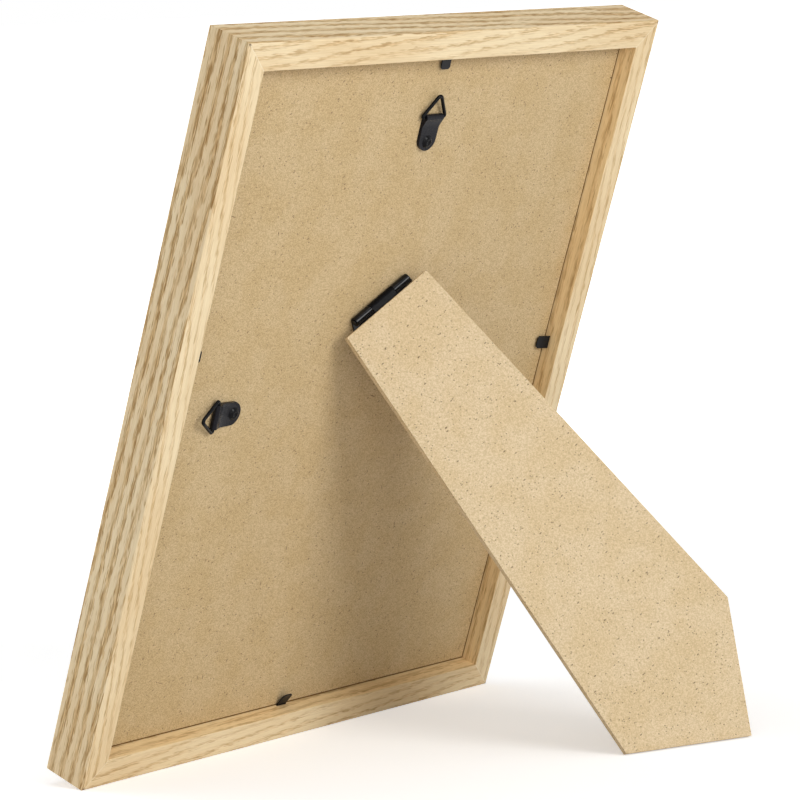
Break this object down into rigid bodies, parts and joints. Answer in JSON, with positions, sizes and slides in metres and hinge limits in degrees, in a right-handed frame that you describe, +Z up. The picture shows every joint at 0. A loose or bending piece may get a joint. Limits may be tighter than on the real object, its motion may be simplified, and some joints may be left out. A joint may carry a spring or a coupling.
{
  "type": "photo frame",
  "caption": "Wooden photo frame with mitred rails, glass, a back board held by bend-up points, a folding easel leg on a stopped hinge, and hanging rings for portrait and landscape.",
  "frame": {"origin": "middle of the underside of the standing frame: on the table, halfway between its sides and halfway from the front of the lower rail to the back of the leg's foot", "axes": "+X to the right seen from the front, +Y to the back, where the leg is, +Z up; the frame stands in portrait, leaning back"},
  "size_m": [0.224, 0.1694, 0.2654],
  "materials": {
    "oak": "plain sanded oak, open grain, matt",
    "hardboard": "smooth hardboard, fine dark fibres, matt",
    "leg_board": "smooth fibreboard, lighter than the back, matt",
    "black_steel": "satin black",
    "plain_steel": "plain strip",
    "glass": "clear float glass with ground edges",
    "paper": "plain white paper"
  },
  "bodies": {
    "frame": {"bottom_rail": "oak", "left_rail": "oak", "top_rail": "oak", "right_rail": "oak", "glass_pane": "glass", "photo_insert": "paper", "backing_board": "hardboard", "corner_nail_1": "plain_steel", "corner_nail_2": "plain_steel", "corner_nail_3": "plain_steel", "corner_nail_4": "plain_steel", "tab_bottom_shank": "black_steel", "tab_left_shank": "black_steel", "tab_top_shank": "black_steel", "tab_right_shank": "black_steel", "hinge_fixed_leaf": "black_steel", "hinge_pin": "black_steel", "board_rivet_1": "black_steel", "board_rivet_2": "black_steel", "top_hanger_strap": "black_steel", "top_hanger_rivet": "black_steel", "side_hanger_strap": "black_steel", "side_hanger_rivet": "black_steel"},
    "leg": {"easel_leg": "leg_board", "hinge_moving_leaf": "black_steel"},
    "top_ring": {"top_hanger_ring": "black_steel"},
    "side_ring": {"side_hanger_ring": "black_steel"},
    "bottom_blade": {"tab_bottom": "black_steel"},
    "left_blade": {"tab_left": "black_steel"},
    "top_blade": {"tab_top": "black_steel"},
    "right_blade": {"tab_right": "black_steel"}
  },
  "joints": [
    {"name": "leg_fold", "type": "hinge", "parent": "frame", "child": "leg", "pos_m": [0.0065, -0.01195, 0.16384], "axis": [-0.8434, 0.186, 0.5041], "range_deg": [0, 42.5]},
    {"name": "top_ring_swing", "type": "hinge", "parent": "frame", "child": "top_ring", "pos_m": [0.0002, 0.01143, 0.22918], "axis": [-1, 0, 0], "range_deg": [-9.4, 133]},
    {"name": "side_ring_swing", "type": "hinge", "parent": "frame", "child": "side_ring", "pos_m": [0.0797, -0.0251, 0.13021], "axis": [0, 0.3463, 0.9381], "range_deg": [-15.4, 127]},
    {"name": "bottom_tab_bend", "type": "hinge", "parent": "frame", "child": "bottom_blade", "pos_m": [0.005, -0.06937, 0.0123], "axis": [-1, 0, 0], "range_deg": [-26.5, 64]},
    {"name": "left_tab_bend", "type": "hinge", "parent": "frame", "child": "left_blade", "pos_m": [-0.10105, -0.0213, 0.13851], "axis": [0, 0.3463, 0.9381], "range_deg": [-3.3, 103]},
    {"name": "top_tab_bend", "type": "hinge", "parent": "frame", "child": "top_blade", "pos_m": [0, 0.01903, 0.25095], "axis": [1, 0, 0], "range_deg": [-5.8, 88]},
    {"name": "right_tab_bend", "type": "hinge", "parent": "frame", "child": "right_blade", "pos_m": [0.10105, -0.01697, 0.15397], "axis": [0, -0.3463, -0.9381], "range_deg": [-26.6, 65]}
  ]
}
